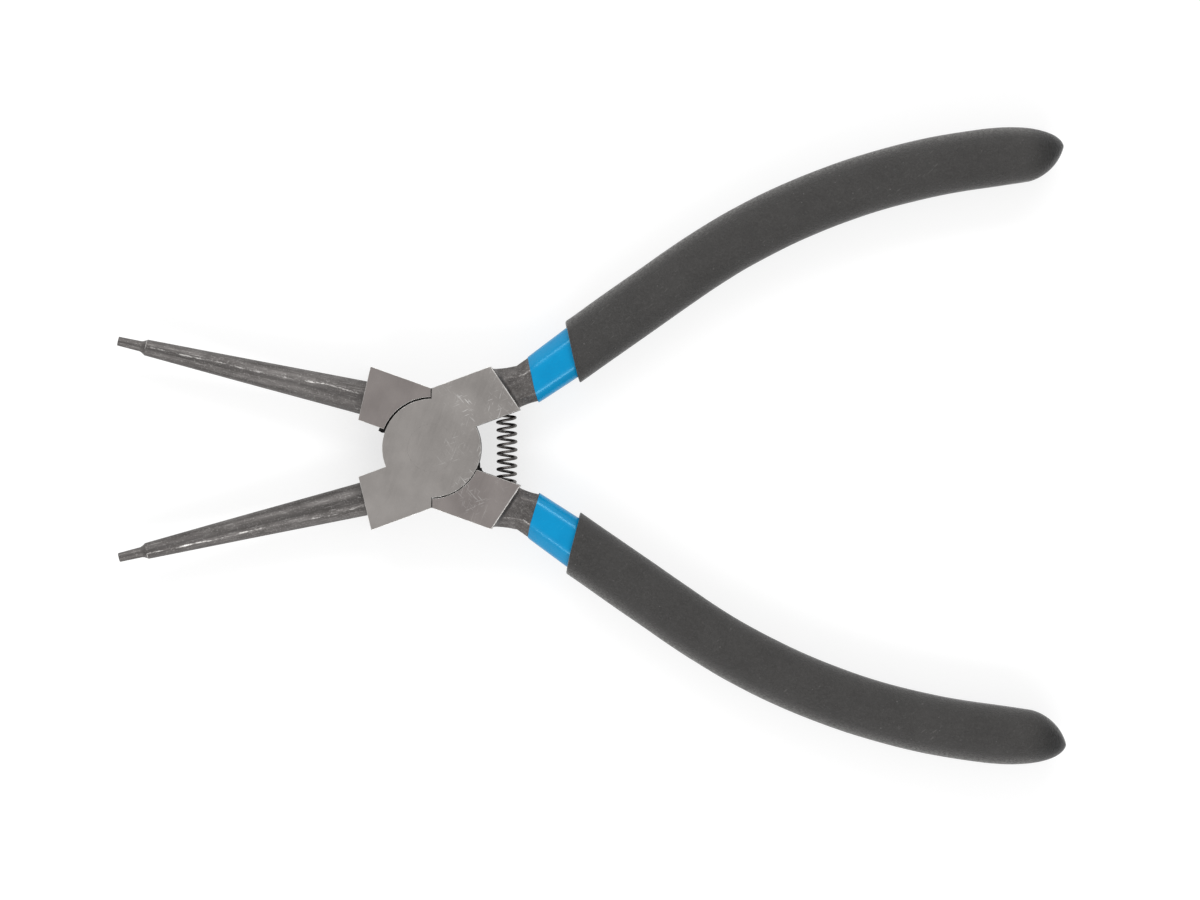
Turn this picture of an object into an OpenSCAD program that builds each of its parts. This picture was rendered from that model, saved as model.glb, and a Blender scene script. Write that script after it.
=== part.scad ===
// Internal circlip pliers: two identical forged levers lapped on a flush rivet, opened by a coil spring
// that sits in a pocket in each lever, with handles dipped twice in plastic.
//
// Each lever is drawn closed, in its own frame: the pivot at the origin, the centre line of the pliers
// along X with the handle towards +X, and the lap plane at z = 0. It is then opened by half the opening
// angle. The back lever is the same forging turned half a turn about X. The finished part has the pivot
// on the Z axis and the underside of the joint on z = 0.

/* [Joint] */
// Thickness of the joint, over both laps
joint_t = 10.4; // [9.4:0.1:12]
// Radius of the round lap disc
disc_r = 8.65; // [8:0.05:9.2]
// Distance from the centre line to the outer edge of the joint blocks
block_w = 9.85; // [9.6:0.05:11]
// Distance from the centre line to the inner edge of the jaw block
jaw_inset = 0.3; // [0.2:0.05:0.8]
// Distance from the centre line to the inner edge of the handle block
handle_inset = 0.9; // [0.6:0.05:1.4]
// Distance from the pivot to the front face of the jaw block, at its inner edge
jaw_face_x = 13.75; // [12.5:0.05:15]
// Distance from the pivot to the end of the handle block, at its inner edge
block_end_x = 16.9; // [16.6:0.1:17.4]
// How much shorter the handle block is at its outer edge
block_end_slant = 2.2; // [1:0.1:3]
// Half of the angle between the levers when open
open_half = 20; // [14:0.5:22]
// Gap between a disc's rim and the hollow it turns in
disc_gap = 0.25; // [0.1:0.05:0.3]
// Gap between the two lap faces
lap_gap = 0.06; // [0.02:0.01:0.2]
// Gap between the stop faces when open
stop_gap = 0.1; // [0.04:0.02:0.2]
// Size of the forging fillet left at the root of the lap disc
root_fillet = 1.4; // [0.6:0.1:1.5]
// Depth of that fillet from the lap plane
root_fillet_h = 2.6; // [1:0.1:4]

/* [Rivet] */
// Radius of the rivet's shank
rivet_r = 3.1; // [2.4:0.05:4]
// How far each countersunk head spreads beyond the shank
rivet_head = 1.1; // [0.6:0.1:1.8]
// Running clearance round the rivet
rivet_gap = 0.04; // [0.02:0.01:0.08]

/* [Jaws] */
// Length of a jaw from the block's front face to the end of its tip
jaw_len = 44.5; // [36:0.5:52]
// Distance from the centre line to the jaw's axis, at the block's front face
jaw_axis_y = 4.25; // [3.8:0.05:5.5]
// Angle at which the jaws converge when the levers are closed
jaw_converge = 6.75; // [4:0.25:8]
// Radius of the tapered jaw at the block
jaw_root_r = 2.95; // [2.4:0.05:3.4]
// Radius of the tapered jaw at its shoulder
jaw_end_r = 1.42; // [1.2:0.02:1.9]
// Radius of the tip that enters the ring's hole
tip_r = 0.9; // [0.6:0.05:1.1]
// Length of the straight tip
tip_len = 4.3; // [3:0.1:6]
// Length of the taper between shoulder and tip
tip_taper = 0.65; // [0.3:0.05:1.2]
// Bevel round the end of the tip
tip_bevel = 0.15; // [0.05:0.05:0.3]

/* [Handles] */
// Distance from the pivot to the root of the tang
tang_x = 19.9; // [19.6:0.1:21]
// Distance from the centre line to the root of the tang
tang_y = 4.85; // [4.4:0.05:5.6]
// Angle at which the handle leaves the centre line
handle_angle = 15; // [10:0.5:18]
// Length of the straight part of the handle
straight_len = 32.6; // [26:0.5:40]
// Radius of the bow in the handle
bow_r = 118; // [90:1:150]
// Angle of the bow in the handle
bow_angle = 27; // [20:0.5:34]
// Straight length after the bow
tail_len = 8; // [4:0.5:12]
// Width of the tang
tang_w = 7.4; // [6.6:0.1:7.8]
// Thickness of the tang
tang_t = 7.2; // [6.4:0.1:7.6]
// Corner chamfer on the tang's outer side
tang_chamfer_out = 2; // [1.4:0.1:2.4]
// Corner chamfer on the tang's inner side
tang_chamfer_in = 1.5; // [1:0.1:2.2]
// Length of the rounded end of the tang
tang_end = 3; // [2:0.1:4]
// How much the handle narrows on its outer side over the last straight length
tail_taper = 0.7; // [0:0.1:1.2]
// How far the tip of the rounded end lies towards the outer side
end_lean = 0.7; // [0:0.1:1.2]

/* [Grips] */
// Distance from the pivot to the mouth of the inner sleeve
sleeve_x = 21.1; // [21:0.1:24]
// Wall of the inner sleeve
sleeve_wall = 0.45; // [0.4:0.05:0.8]
// Distance from the pivot to the mouth of the grip
grip_x = 29.6; // [27:0.1:36]
// Wall of the grip
grip_wall = 1; // [0.6:0.05:1.4]
// Length of the rounded end of the grip
grip_end = 8.5; // [7.6:0.1:12]
// Rounding of a mouth's rim
mouth_round = 0.3; // [0.1:0.05:0.35]
// Gap between the layers
layer_gap = 0.02; // [0.01:0.01:0.05]

/* [Spring] */
// Wire diameter
wire_d = 0.5; // [0.35:0.05:0.6]
// Outside diameter of the coil
coil_d = 3.7; // [3:0.1:4]
// Number of turns
coil_turns = 13.5; // [10:0.5:16]
// Distance from the pivot to the spring pocket, along the lever
spring_x = 14.3; // [13.8:0.1:14.5]
// Depth of the spring pocket
pocket_depth = 3.4; // [2.6:0.1:4.4]
// Angle by which the pocket leans back towards the handle
pocket_lean = 8; // [0:1:10]
// Clearance between the coil and its pocket
pocket_gap = 0.4; // [0.25:0.05:0.5]

/* [Hidden] */
$fn = 96;

ground_steel = "#8f8c88";
blued_steel = "#4a4644";
sleeve_blue = "#1f8fd0";
grip_grey = "#4b4947";

// What a cut runs past the face that it opens
over = 1;

// Where the open levers meet the stop plane, at a distance y from the centre line
function stop_x(y) = y * tan(open_half) + stop_gap / 2 / cos(open_half);

// Puts a closed lever's piece in place: side 1 is the front lever, side -1 the back one
module open_lever(side) {
  translate([0, 0, joint_t / 2])
    rotate([side > 0 ? 0 : 180, 0, 0])
      rotate([0, 0, open_half])
        children();
}

// Joint

module jaw_block_outline() {
  face_lean = (block_w - jaw_inset) * tan(jaw_converge);
  polygon([
    [-stop_x(jaw_inset), -jaw_inset],
    [-jaw_face_x, -jaw_inset],
    [-jaw_face_x - face_lean, -block_w],
    [-stop_x(block_w), -block_w]
  ]);
}

module handle_block_outline() {
  polygon([
    [stop_x(handle_inset), handle_inset],
    [block_end_x, handle_inset],
    [block_end_x - block_end_slant, block_w],
    [stop_x(block_w), block_w]
  ]);
}

// The fillet between a block's inner edge, at height y, and the rim of the disc, on the side towards the gap
module root_fillet_outline(y, towards) {
  rim_x = sqrt(disc_r * disc_r - y * y);
  polygon([
    [rim_x - root_fillet / 2, y - towards * root_fillet / 4],
    [rim_x + root_fillet, y - towards * root_fillet / 4],
    [rim_x + root_fillet, y],
    [rim_x - root_fillet / 8, y + towards * root_fillet]
  ]);
}

module root_fillets() {
  translate([0, 0, lap_gap / 2])
    linear_extrude(root_fillet_h) {
      root_fillet_outline(handle_inset, -1);
      rotate(180) root_fillet_outline(jaw_inset, -1);
    }
}

// The blocks have the joint's full thickness, and are hollowed below the lap plane for the other disc
module joint_blocks() {
  difference() {
    linear_extrude(joint_t, center = true) {
      jaw_block_outline();
      handle_block_outline();
    }
    translate([0, 0, -joint_t / 2 - over])
      cylinder(r = disc_r + disc_gap, h = joint_t / 2 + over + lap_gap / 2);
  }
}

module lap_disc() {
  translate([0, 0, lap_gap / 2])
    cylinder(r = disc_r, h = joint_t / 2 - lap_gap / 2);
}

// A shank with a countersunk head at each end, flush with the joint's faces, grown by a clearance
module rivet_shape(gap, past) {
  head_r = rivet_r + rivet_head + gap;
  cylinder(r = rivet_r + gap, h = joint_t + 2 * past, center = true);
  for (flip = [0, 180])
    rotate([flip, 0, 0]) {
      translate([0, 0, joint_t / 2 - rivet_head])
        cylinder(r1 = rivet_r + gap, r2 = head_r, h = rivet_head);
      if (past > 0)
        translate([0, 0, joint_t / 2]) cylinder(r = head_r, h = past);
    }
}

module spring_pocket() {
  translate([spring_x, handle_inset, 0])
    rotate([0, 0, -pocket_lean])
      translate([0, -over, 0])
        rotate([-90, 0, 0])
          cylinder(d = coil_d + 2 * pocket_gap, h = pocket_depth + over);
}

// Jaw

module jaw() {
  shoulder = jaw_len - tip_len - tip_taper;
  root_x = jaw_face_x + (jaw_axis_y - jaw_inset) * tan(jaw_converge);
  sunk = 2;
  translate([-root_x, -jaw_axis_y, 0])
    rotate([0, 0, -jaw_converge])
      rotate([0, -90, 0])
        rotate_extrude()
          polygon([
            [0, -sunk],
            [jaw_root_r, -sunk],
            [jaw_root_r, 0],
            [jaw_end_r, shoulder],
            [tip_r, jaw_len - tip_len],
            [tip_r, jaw_len - tip_bevel],
            [tip_r - tip_bevel, jaw_len],
            [0, jaw_len]
          ]);
}

// Handle
//
// The handle and its two dipped layers are lofts through rings along one run. The run starts at the root of
// the tang, along X, and bows towards -Y. A ring's first coordinate is its distance towards the outside of
// the handle, and its second the height.

bow_steps = 9;
bow_len = bow_r * bow_angle * PI / 180;
run_len = straight_len + bow_len + tail_len;

// How far the run has turned at a length s from its start
function turned(s) = min(max(s - straight_len, 0) / bow_r * 180 / PI, bow_angle);

// The point at a length s along the run
function run_point(s) =
  let (q = turned(s), tail = max(s - straight_len - bow_len, 0))
  [
    min(s, straight_len) + bow_r * sin(q) + tail * cos(q),
    -bow_r * (1 - cos(q)) - tail * sin(q)
  ];

// A ring of points about a centre, square to the run where it has turned by q
function ring(centre, q, outline) =
  [for (p = outline) [centre.x + p.x * sin(q), centre.y + p.x * cos(q), p.y]];

function run_ring(s, outline) = ring(run_point(s), turned(s), outline);

// An outline at the narrow end of the tail, shrunk by k, with its middle moved towards the outer side as it shrinks
tail_k = 1 - tail_taper / (tang_w + 2 * (sleeve_wall + grip_wall));
function tail_outline(outline, k) =
  [for (p = outline) p * tail_k * k + [end_lean * (1 - k) - tail_taper / 2, 0]];

// The tang's outline grown by a wall, with its four corners in steps
function handle_outline(w, t, chamfer_out, chamfer_in, wall, steps) = [
  for (corner = [0 : 3], i = [0 : steps])
    let (
      outer = corner == 0 || corner == 3,
      chamfer = outer ? chamfer_out : chamfer_in,
      a = 90 * (corner + i / steps)
    )
    [
      (outer ? 1 : -1) * (w / 2 - chamfer) + (chamfer + wall) * cos(a),
      (corner < 2 ? 1 : -1) * (t / 2 - chamfer) + (chamfer + wall) * sin(a)
    ]
];

function layer_outline(wall, steps) =
  handle_outline(tang_w, tang_t, tang_chamfer_out, tang_chamfer_in, wall, steps);

// Rings along the bow and the tail, and round the end
function bow_rings(outline) = [
  for (i = [0 : bow_steps]) run_ring(straight_len + bow_len * i / bow_steps, outline),
  run_ring(run_len, tail_outline(outline, 1))
];

end_angles = [20, 38, 54, 68, 80];

function end_rings(outline, length) = [
  for (a = end_angles) run_ring(run_len + length * sin(a), tail_outline(outline, cos(a)))
];

// A ring in the plane of a mouth, which lies square to the closed pliers' centre line
function mouth_ring(x, outline) = [
  for (p = outline) [(x - tang_x + p.x * sin(handle_angle)) / cos(handle_angle), p.x, p.y]
];

// A closed skin through rings that all have the same number of points
module loft(rings) {
  n = len(rings[0]);
  last = len(rings) - 1;
  polyhedron(
    points = [for (r = rings) each r],
    faces = [
      [for (i = [0 : n - 1]) i],
      for (j = [0 : last - 1], i = [0 : n - 1])
        let (a = j * n + i, b = j * n + (i + 1) % n)
        each [[a, a + n, b], [b, a + n, b + n]],
      [for (i = [n - 1 : -1 : 0]) last * n + i]
    ]
  );
}

module along_handle() {
  translate([tang_x, tang_y, 0])
    rotate([0, 0, handle_angle])
      children();
}

// A point of the closed lever, seen from the start of the run
function from_run(x, y) =
  let (dx = x - tang_x, dy = y - tang_y)
  [dx * cos(handle_angle) + dy * sin(handle_angle), dy * cos(handle_angle) - dx * sin(handle_angle)];

// The tang starts just inside the block's end, steps down behind it, and runs the length of the handle
module tang() {
  sunk = 0.2;
  rim = 0.1;
  block_mid = [block_end_x - block_end_slant / 2, (handle_inset + block_w) / 2];
  slant = atan(block_end_slant / (block_w - handle_inset));
  root_w = block_w - handle_inset - 2 * rim;
  root_t = joint_t - 2 * rim;
  tang_outline = layer_outline(0, 1);

  // A ring between the block's end and the root of the tang, with its own shares of the way, width and thickness
  function neck_ring(way, wide, thick) =
    ring(
      from_run(block_mid.x + way * (tang_x - block_mid.x), block_mid.y + way * (tang_y - block_mid.y)),
      (handle_angle - slant) * (1 - way),
      handle_outline(
        root_w + wide * (tang_w - root_w),
        root_t + thick * (tang_t - root_t),
        tang_chamfer_out * (0.5 + thick / 2),
        tang_chamfer_in * (0.5 + thick / 2),
        0, 1
      )
    );

  along_handle()
    loft([
      neck_ring(-sunk / (tang_x - block_mid.x), 0, 0),
      neck_ring(0.2, 0.45, 0.9),
      neck_ring(0.62, 0.95, 0.97),
      run_ring(0, tang_outline),
      each bow_rings(tang_outline),
      each end_rings(tang_outline, tang_end)
    ]);
}

// Levers

module lever() {
  difference() {
    union() {
      joint_blocks();
      lap_disc();
      root_fillets();
      tang();
    }
    rivet_shape(rivet_gap, over);
    spring_pocket();
  }
  jaw();
}

module front_lever() {
  color(ground_steel) open_lever(1) lever();
}

module back_lever() {
  color(ground_steel) open_lever(-1) lever();
}

module pivot_rivet() {
  color(ground_steel)
    translate([0, 0, joint_t / 2])
      rivet_shape(0, 0);
}

// Dipped layers

// One layer of plastic: its wall, from the wall below it, with a rounded rim at its mouth and a closed end
module dipped_layer(x, below, wall, end_below, end, steps_below, steps) {
  full = layer_outline(below + wall, steps);
  rim = layer_outline(below + wall - mouth_round, steps);
  under = layer_outline(below + layer_gap, steps_below);
  along_handle()
    difference() {
      loft([
        mouth_ring(x, rim),
        mouth_ring(x + mouth_round, full),
        each bow_rings(full),
        each end_rings(full, end)
      ]);
      loft([
        mouth_ring(x - over, under),
        each bow_rings(under),
        each end_rings(under, end_below + layer_gap)
      ]);
    }
}

// The sleeve's closed end is half as thick again as its wall
sleeve_end = tang_end + 1.5 * sleeve_wall;
tang_steps = 1;
sleeve_steps = 4;
grip_steps = 5;

module sleeve() {
  dipped_layer(sleeve_x, 0, sleeve_wall, tang_end, sleeve_end, tang_steps, sleeve_steps);
}

module grip() {
  dipped_layer(grip_x, sleeve_wall, grip_wall, sleeve_end, grip_end, sleeve_steps, grip_steps);
}

module front_sleeve() {
  color(sleeve_blue) open_lever(1) sleeve();
}

module back_sleeve() {
  color(sleeve_blue) open_lever(-1) sleeve();
}

module front_grip() {
  color(grip_grey) open_lever(1) grip();
}

module back_grip() {
  color(grip_grey) open_lever(-1) grip();
}

// Spring
//
// The spring leans in its pockets as far as their clearance lets it, so that its axis is an arc between the
// open levers. Its end turns are closed and rest at the bottom of the pockets.

wire_steps = 16;
wire_sides = 6;
end_gap = 0.3;
end_turns = 1;

// The middle of the pocket, on the closed lever and with the lever open
pocket_mid = [
  spring_x + pocket_depth / 2 * sin(pocket_lean),
  handle_inset + pocket_depth / 2 * cos(pocket_lean)
];
seat = [
  pocket_mid.x * cos(open_half) - pocket_mid.y * sin(open_half),
  pocket_mid.x * sin(open_half) + pocket_mid.y * cos(open_half)
];
lean = max(open_half - pocket_lean - atan(1.2 * pocket_gap / pocket_depth), 2);
arc_r = seat.y / sin(lean);
arc_x = seat.x - arc_r * cos(lean);
half_len = arc_r * lean * PI / 180 + pocket_depth / 2 - end_gap - wire_d / 2;

// How far along the spring's axis the wire has climbed after a number of turns
end_pitch = 1.08 * wire_d;
open_pitch = (2 * half_len - 2 * end_turns * end_pitch) / (coil_turns - 2 * end_turns);
function climb(turn) =
  end_pitch * (min(turn, end_turns) + max(turn - coil_turns + end_turns, 0))
  + open_pitch * min(max(turn - end_turns, 0), coil_turns - 2 * end_turns);

function wire_ring(turn) =
  let (
    a = (climb(turn) - half_len) / arc_r * 180 / PI,
    coil_r = (coil_d - wire_d) / 2,
    turned_by = 360 * turn
  )
  [
    for (i = [0 : wire_sides - 1])
      let (
        side = 360 * i / wire_sides,
        r = coil_r + wire_d / 2 * cos(side),
        along = wire_d / 2 * sin(side),
        reach = arc_r + r * cos(turned_by)
      )
      [arc_x + reach * cos(a) - along * sin(a), reach * sin(a) + along * cos(a), -r * sin(turned_by)]
  ];

module return_spring() {
  color(blued_steel)
    translate([0, 0, joint_t / 2])
      loft([for (i = [0 : coil_turns * wire_steps]) wire_ring(i / wire_steps)]);
}

front_lever();
back_lever();
pivot_rivet();
return_spring();
front_sleeve();
back_sleeve();
front_grip();
back_grip();
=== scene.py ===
"""Internal circlip pliers: forged levers on a flush rivet, a coil return spring and twice-dipped handles."""
import math

import bmesh
import bpy
from mathutils import Matrix, Vector, noise


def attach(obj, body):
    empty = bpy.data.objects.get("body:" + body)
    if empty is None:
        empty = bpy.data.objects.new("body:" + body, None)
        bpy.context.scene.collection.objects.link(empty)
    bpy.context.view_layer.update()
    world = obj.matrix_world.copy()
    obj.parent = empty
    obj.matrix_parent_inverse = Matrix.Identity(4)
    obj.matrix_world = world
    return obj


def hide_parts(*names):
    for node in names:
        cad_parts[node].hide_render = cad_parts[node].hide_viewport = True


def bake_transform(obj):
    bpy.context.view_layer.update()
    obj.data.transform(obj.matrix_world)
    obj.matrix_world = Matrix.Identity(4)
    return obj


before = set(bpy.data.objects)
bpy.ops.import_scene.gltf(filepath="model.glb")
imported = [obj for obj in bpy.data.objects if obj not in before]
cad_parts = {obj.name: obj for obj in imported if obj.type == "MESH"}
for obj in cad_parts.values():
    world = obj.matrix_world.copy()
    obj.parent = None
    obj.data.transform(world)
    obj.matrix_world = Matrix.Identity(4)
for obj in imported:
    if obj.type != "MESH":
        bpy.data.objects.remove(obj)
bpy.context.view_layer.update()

# Levers
# Each lever is one steel forging from jaw tip to handle end, its jaw ground lengthwise by hand, its joint
# milled for the lap and ground flat on the faces, the rest left dark. The back one is the same, turned over.
# Each is worked closed, in mm: the pivot at the origin, the handle towards +X, the lap at z = 0.

MM = 0.001
JOINT_T = 10.4
OPEN_HALF = math.radians(20)
DISC_R = 8.65
RIM_STEPS = 56
HOLLOW_R = 8.9
HOLLOW_SHIFT = 0.1
HOLLOW_STEPS = 160
LAP_Z = 0.03
STOP_HALF_GAP = 0.04
BLOCK_W = 9.85
JAW_INSET = 0.3
HANDLE_INSET = 0.9
JAW_FACE_X = 13.75
JAW_LEAN = math.radians(6.75)
BLOCK_END_X = 16.9
BLOCK_END_SLANT = 2.2
# How far a cutter runs past what it cuts
PAST = 1.0
# Points as close as this are merged: on a turned seam, in the joint's outline, and in the welded forging
SEAM_MERGE = 1e-5
OUTLINE_MERGE = 1e-3
WELD_MERGE = 1e-4


def in_place(side):
    """From a closed lever in mm to the open pliers in metres; side 1 is the front lever, -1 the back."""
    turned_over = Matrix.Rotation(0 if side > 0 else math.pi, 4, "X")
    lifted = Matrix.Translation((0, 0, JOINT_T / 2))
    return Matrix.Scale(MM, 4) @ lifted @ turned_over @ Matrix.Rotation(OPEN_HALF, 4, "Z")


def make_piece(bm, name):
    """A mesh object from a bmesh, at the origin."""
    mesh = bpy.data.meshes.new(name)
    bm.to_mesh(mesh)
    bm.free()
    piece = bpy.data.objects.new(name, mesh)
    bpy.context.scene.collection.objects.link(piece)
    return piece


def work(blank, tool_bm, operation):
    """Welds a shape to the blank, or cuts it out of the blank."""
    tool = make_piece(tool_bm, "tool")
    step = blank.modifiers.new("work", "BOOLEAN")
    step.operation = operation
    step.solver = "EXACT"
    step.object = tool
    worked = blank.evaluated_get(bpy.context.evaluated_depsgraph_get())
    blank.data = bpy.data.meshes.new_from_object(worked)
    blank.modifiers.clear()
    bpy.data.objects.remove(tool)


def drawn_up(bm, face, height):
    """Draws a flat face up into a solid."""
    drawn = bmesh.ops.extrude_face_region(bm, geom=[face])
    top = [v for v in drawn["geom"] if isinstance(v, bmesh.types.BMVert)]
    bmesh.ops.translate(bm, verts=top, vec=(0, 0, height))
    bmesh.ops.recalc_face_normals(bm, faces=bm.faces)


def turned(profile, steps):
    """A profile of radii and heights turned about Z into a closed solid."""
    bm = bmesh.new()
    points = [bm.verts.new((r, 0, z)) for r, z in profile]
    edges = [bm.edges.new(pair) for pair in zip(points, points[1:])]
    bmesh.ops.spin(
        bm, geom=points + edges, cent=(0, 0, 0), axis=(0, 0, 1),
        angle=2 * math.pi, steps=steps, use_merge=True,
    )
    bmesh.ops.remove_doubles(bm, verts=bm.verts, dist=SEAM_MERGE)
    bmesh.ops.recalc_face_normals(bm, faces=bm.faces)
    return bm


def round_bar(radius, length, place, segments):
    """A round bar from the place's origin along its Z."""
    bm = bmesh.new()
    bmesh.ops.create_cone(
        bm, cap_ends=True, segments=segments, radius1=radius, radius2=radius,
        depth=length, matrix=place @ Matrix.Translation((0, 0, length / 2)),
    )
    return bm


def joint_blank():
    """The disc and both blocks as one outline, at full thickness."""
    bm = bmesh.new()
    low = -JOINT_T / 2
    jaw_face_lean = (BLOCK_W - JAW_INSET) * math.tan(JAW_LEAN)
    stop = math.pi / 2 - OPEN_HALF - math.asin(STOP_HALF_GAP / DISC_R)
    handle_root = math.asin(HANDLE_INSET / DISC_R)
    jaw_root = math.pi + math.asin(JAW_INSET / DISC_R)
    stop_x = BLOCK_W * math.tan(OPEN_HALF) + STOP_HALF_GAP / math.cos(OPEN_HALF)

    def on_rim(turn):
        return (DISC_R * math.cos(turn), DISC_R * math.sin(turn))

    handle_block = [
        on_rim(handle_root),
        (BLOCK_END_X, HANDLE_INSET),
        (BLOCK_END_X - BLOCK_END_SLANT, BLOCK_W),
        (stop_x, BLOCK_W),
        on_rim(stop),
    ]
    jaw_block = [
        on_rim(jaw_root),
        (-JAW_FACE_X, -JAW_INSET),
        (-JAW_FACE_X - jaw_face_lean, -BLOCK_W),
        (-stop_x, -BLOCK_W),
        on_rim(stop + math.pi),
    ]
    for block, rim_turn in (
        (handle_block, jaw_root - stop),
        (jaw_block, math.pi + handle_root - stop),
    ):
        corners = [bm.verts.new((x, y, low)) for x, y in block]
        for pair in zip(corners, corners[1:]):
            bm.edges.new(pair)
        bmesh.ops.spin(
            bm, geom=corners[-1:], cent=(0, 0, 0), axis=(0, 0, 1), angle=rim_turn, steps=RIM_STEPS,
        )
    bmesh.ops.remove_doubles(bm, verts=bm.verts, dist=OUTLINE_MERGE)
    outline = bmesh.ops.contextual_create(bm, geom=bm.edges[:])
    drawn_up(bm, outline["faces"][0], JOINT_T)
    return bm


# Where the milling of the lap ran out at the disc's roots, one lever kept remnants of the forging's fillet.
# Their outlines run along the block's inner edge from the rim, and off it.
REMNANT_H = 2.6
JAW_LEDGE = [(-0.6, -0.3), (1.3, -0.3), (1.3, 0.62), (0.6, 0.76), (0.3, 0.66), (-0.3, 0.85)]
HANDLE_SPUR = [
    (-0.6, -0.3), (1.3, -0.3), (1.25, 0.02), (0.95, 0.2), (0.75, 0.55), (0.5, 0.5), (0.22, 1.2), (-0.2, 1.7),
]


def root_x(inset):
    """Where a block's inner edge meets the rim of the disc."""
    return math.sqrt(DISC_R ** 2 - inset ** 2)


def remnant(outline, inset, turn):
    """One remnant between a block's inner edge and the rim of the disc."""
    rim_x = root_x(inset)
    bm = bmesh.new()
    corners = [bm.verts.new((rim_x + along, inset - off, LAP_Z)) for along, off in outline]
    drawn_up(bm, bm.faces.new(corners), REMNANT_H)
    bmesh.ops.rotate(bm, verts=bm.verts, cent=(0, 0, 0), matrix=Matrix.Rotation(turn, 3, "Z"))
    return bm


# The rivet's bore is countersunk on both faces, and the spring sits in a pocket that leans to the handle
RIVET_R = 3.1
RIVET_HEAD = 1.1
RIVET_GAP = 0.04
HAIR_LINE = 0.005
BORE_STEPS = 128
SPRING_X = 14.3
POCKET_R = 2.25
POCKET_DEPTH = 3.4
POCKET_LEAN = math.radians(8)
POCKET_STEPS = 64


def rivet_bore():
    """The cutter for the rivet's bore, with a hair line left round the heads."""
    shank = RIVET_R + RIVET_GAP
    head = RIVET_R + RIVET_HEAD + HAIR_LINE
    top = JOINT_T / 2
    return turned([
        (0, -top - PAST), (head, -top - PAST), (head, -top), (shank, -top + RIVET_HEAD),
        (shank, top - RIVET_HEAD), (head, top), (head, top + PAST), (0, top + PAST),
    ], BORE_STEPS)


def spring_pocket():
    """The cutter for the spring's pocket, from the handle block's inner edge."""
    place = (
        Matrix.Translation((SPRING_X, HANDLE_INSET, 0))
        @ Matrix.Rotation(-POCKET_LEAN, 4, "Z")
        @ Matrix.Translation((0, -PAST, 0))
        @ Matrix.Rotation(-math.pi / 2, 4, "X")
    )
    return round_bar(POCKET_R, POCKET_DEPTH + PAST, place, POCKET_STEPS)


# The jaw is a long cone with a shoulder and a straight round tip, all turned about the place's Z
JAW_LEN = 44.5
JAW_AXIS_Y = 4.25
JAW_ROOT_R = 2.95
JAW_END_R = 1.42
JAW_SUNK = 1.6
JAW_STEPS = 96
CONE_RINGS = 72
SHOULDER_RIM = 0.1
RIM_IN = 0.08
FACE_IN = 0.12
TIP_R = 0.92
TIP_END_R = 0.8
TIP_LEN = 4.3
TIP_TAPER = 0.65
TIP_BEVEL = 0.12
TIP_RINGS = 9
TIP_ROOT_SWELL = 0.12
TIP_ROOT_BACK = 0.15
TIP_ROOT_ON = 0.2
JAW_SHOULDER = JAW_LEN - TIP_LEN - TIP_TAPER
JAW_ROOT_X = JAW_FACE_X + (JAW_AXIS_Y - JAW_INSET) * math.tan(JAW_LEAN)
JAW_PLACE = (
    Matrix.Translation((-JAW_ROOT_X, -JAW_AXIS_Y, 0))
    @ Matrix.Rotation(-JAW_LEAN, 4, "Z")
    @ Matrix.Rotation(-math.pi / 2, 4, "Y")
)
# Grinding along the cone left soft flats: their depth as a share of the radius, and how soon they change
FLAT_DEPTH = 0.028
FLAT_ROUND = 2.5
FLAT_ALONG = 0.035


def cone_r(z):
    """The cone's radius at a height."""
    return JAW_ROOT_R + (JAW_END_R - JAW_ROOT_R) * max(z, 0) / JAW_SHOULDER


def jaw_flat(point):
    """How far the ground cone stands out or in at a point, as a share of its flats' depth."""
    across = Vector((point.x, point.y, 0)).normalized() * FLAT_ROUND
    return noise.noise(Vector((across.x, across.y, point.z * FLAT_ALONG)))


def jaw():
    """The jaw with its tip, turned in one and then ground."""
    rings = [JAW_SHOULDER * i / CONE_RINGS for i in range(CONE_RINGS)]
    cone = [(cone_r(z), z) for z in rings]
    tip_foot = JAW_LEN - TIP_LEN
    tip_start = tip_foot + TIP_ROOT_ON
    tip_run = JAW_LEN - TIP_BEVEL - tip_start
    tip = [
        (TIP_R + (TIP_END_R - TIP_R) * i / TIP_RINGS, tip_start + tip_run * i / TIP_RINGS)
        for i in range(TIP_RINGS)
    ]
    bm = turned([
        (0, -JAW_SUNK), (JAW_ROOT_R, -JAW_SUNK), *cone,
        (JAW_END_R, JAW_SHOULDER - 2 * SHOULDER_RIM), (JAW_END_R, JAW_SHOULDER - SHOULDER_RIM),
        (JAW_END_R - RIM_IN, JAW_SHOULDER), (JAW_END_R - FACE_IN, JAW_SHOULDER + SHOULDER_RIM / 2),
        (TIP_R + TIP_ROOT_SWELL, tip_foot - TIP_ROOT_BACK), *tip,
        (TIP_END_R, JAW_LEN - TIP_BEVEL), (TIP_END_R - TIP_BEVEL / 3, JAW_LEN - TIP_BEVEL / 4),
        (TIP_END_R - TIP_BEVEL, JAW_LEN), (0, JAW_LEN),
    ], JAW_STEPS)
    for v in bm.verts:
        if 0 <= v.co.z < JAW_SHOULDER:
            v.co.xy *= 1 + FLAT_DEPTH * jaw_flat(v.co)
    bmesh.ops.transform(bm, matrix=JAW_PLACE, verts=bm.verts)
    return bm


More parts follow.
